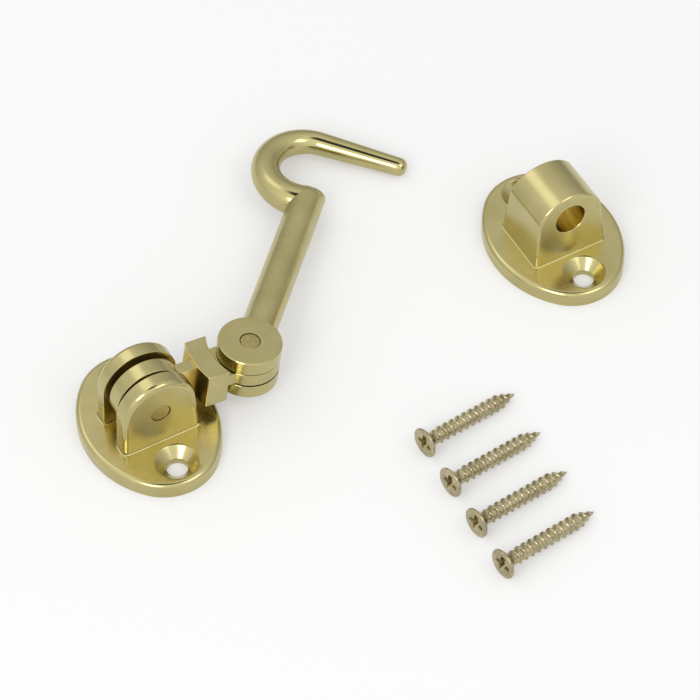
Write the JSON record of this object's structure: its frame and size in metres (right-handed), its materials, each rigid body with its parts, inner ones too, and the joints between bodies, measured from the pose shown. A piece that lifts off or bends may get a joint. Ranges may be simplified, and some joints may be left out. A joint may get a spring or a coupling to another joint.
{
  "type": "hook and eye latch",
  "caption": "Satin brass cabin hook: an oval plate with ears, a cross-pivoting link and a round hook arm, with a separate oval eye plate and loose countersunk screws.",
  "frame": {"origin": "middle of the hook plate's underside, on the surface that it is screwed to", "axes": "+Z out of that surface, +Y along the base pin and the line of the plate's screws, +X from the hook plate towards the eye plate"},
  "size_m": [0.1353, 0.1332, 0.0222],
  "materials": {
    "satin_brass": "satin brushed brass with soft polished edges",
    "pin_brass": "matte cut brass",
    "screw_brass": "dull plated thread with a polished head"
  },
  "bodies": {
    "base": {"hook_plate": "satin_brass", "base_pin": "pin_brass", "eye_plate": "satin_brass", "screw_1": "screw_brass", "screw_2": "screw_brass", "screw_3": "screw_brass", "screw_4": "screw_brass"},
    "swivel": {"link": "satin_brass"},
    "arm": {"hook_arm": "satin_brass", "arm_pin": "pin_brass"}
  },
  "joints": [
    {"name": "base_pivot", "type": "hinge", "parent": "base", "child": "swivel", "pos_m": [0, 0, 0.0133], "axis": [0, -1, 0], "range_deg": [0, 194.9]},
    {"name": "arm_pivot", "type": "hinge", "parent": "swivel", "child": "arm", "pos_m": [0.02479, 0, 0.01006], "axis": [0.1295, 0, 0.9916], "range_deg": [-16, 59]}
  ]
}
